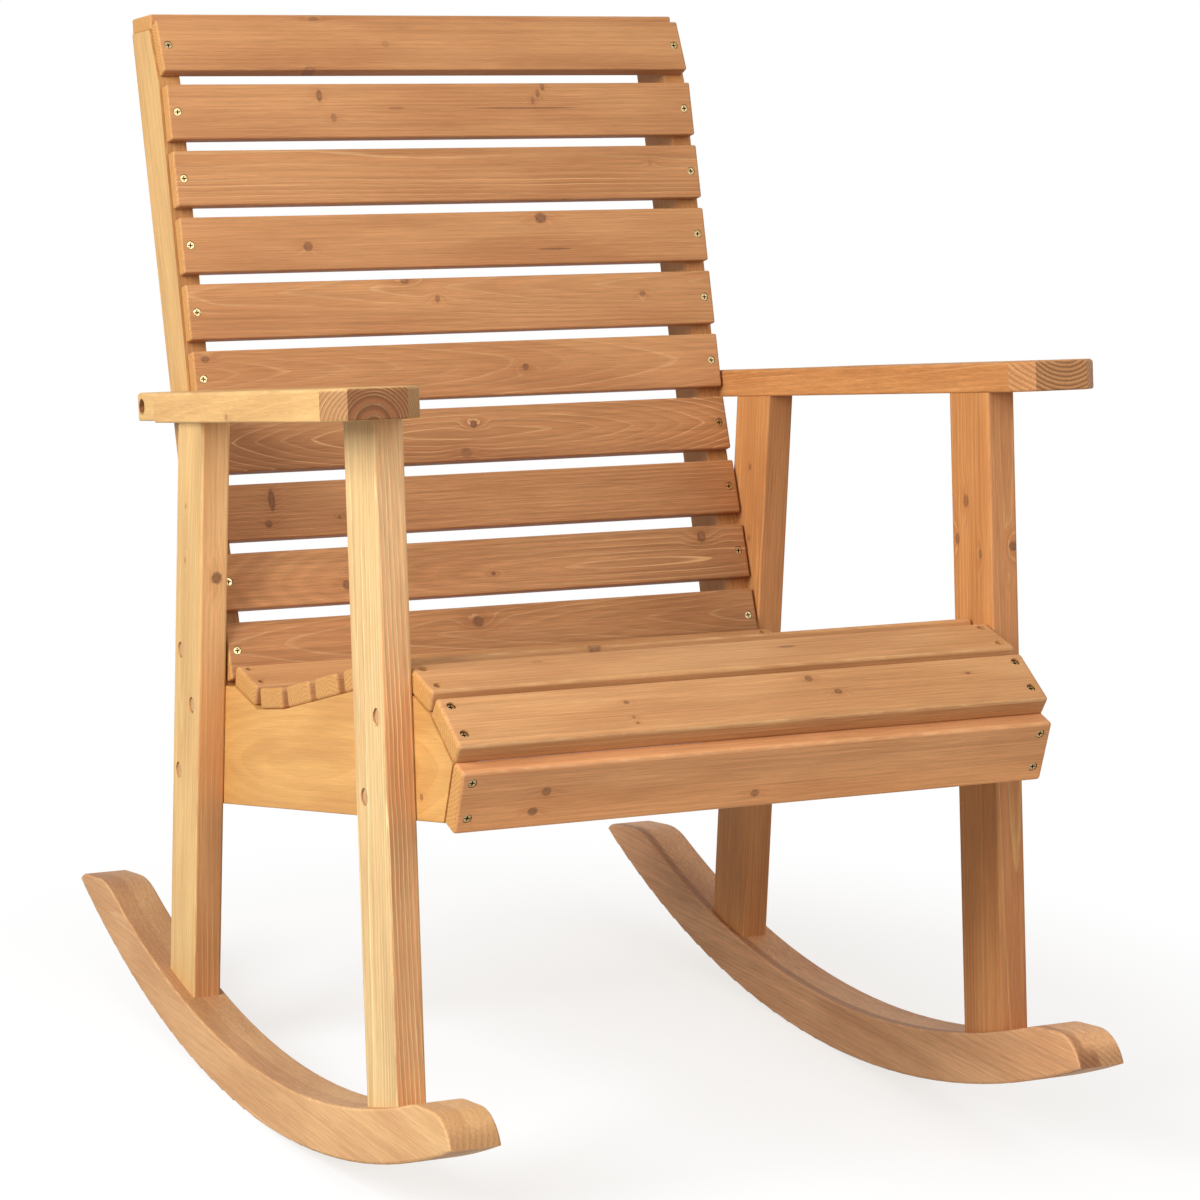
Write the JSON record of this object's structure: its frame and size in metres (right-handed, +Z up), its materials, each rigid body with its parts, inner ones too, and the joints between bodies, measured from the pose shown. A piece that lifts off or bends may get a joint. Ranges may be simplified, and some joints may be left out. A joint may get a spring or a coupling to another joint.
{
  "type": "wooden rocking chair",
  "caption": "Slatted softwood rocking chair with flat arms, a curved slatted seat with a rounded front, a tall slatted back and two curved rockers.",
  "frame": {"origin": "on the floor, on the middle plane, midway between the front and rear tips of the rockers", "axes": "+Z up, -Y the way the sitter faces, +X to the sitter's left; the chair stands in the pose in which it comes to rest empty"},
  "size_m": [0.742, 0.9516, 0.9746],
  "materials": {
    "rocker_wood": "oiled, fine sawn grain",
    "leg_wood": "oiled, fine sawn grain",
    "arm_wood": "oiled, fine sawn grain",
    "rail_wood": "oiled, fine sawn grain",
    "stile_wood": "oiled, fine sawn grain",
    "seat_slat_wood": "oiled, fine sawn grain",
    "back_slat_wood": "oiled, fine sawn grain",
    "plug_wood": "oiled, fine sawn grain",
    "dowel_wood": "plain",
    "screw_metal": "yellow zinc plated",
    "bolt_metal": "zinc plated"
  },
  "bodies": {
    "root": {"rocker_left": "rocker_wood", "front_leg_left": "leg_wood", "rear_leg_left": "leg_wood", "arm_left": "arm_wood", "seat_rail_left": "rail_wood", "back_stile_left": "stile_wood", "rocker_right": "rocker_wood", "front_leg_right": "leg_wood", "rear_leg_right": "leg_wood", "arm_right": "arm_wood", "seat_rail_right": "rail_wood", "back_stile_right": "stile_wood", "seat_slat_1": "seat_slat_wood", "seat_slat_2": "seat_slat_wood", "seat_slat_3": "seat_slat_wood", "seat_slat_4": "seat_slat_wood", "seat_slat_5": "seat_slat_wood", "seat_slat_6": "seat_slat_wood", "seat_slat_7": "seat_slat_wood", "seat_slat_8": "seat_slat_wood", "seat_slat_9": "seat_slat_wood", "back_slat_1": "back_slat_wood", "back_slat_2": "back_slat_wood", "back_slat_3": "back_slat_wood", "back_slat_4": "back_slat_wood", "back_slat_5": "back_slat_wood", "back_slat_6": "back_slat_wood", "back_slat_7": "back_slat_wood", "back_slat_8": "back_slat_wood", "back_slat_9": "back_slat_wood", "back_slat_10": "back_slat_wood", "top_cap_slat": "back_slat_wood", "back_slat_screws": "screw_metal", "seat_slat_screws": "screw_metal", "leg_bolts": "bolt_metal", "arm_bolts": "bolt_metal", "leg_bolt_plugs": "plug_wood", "arm_dowels": "dowel_wood", "foot_dowels": "dowel_wood"}
  },
  "joints": []
}
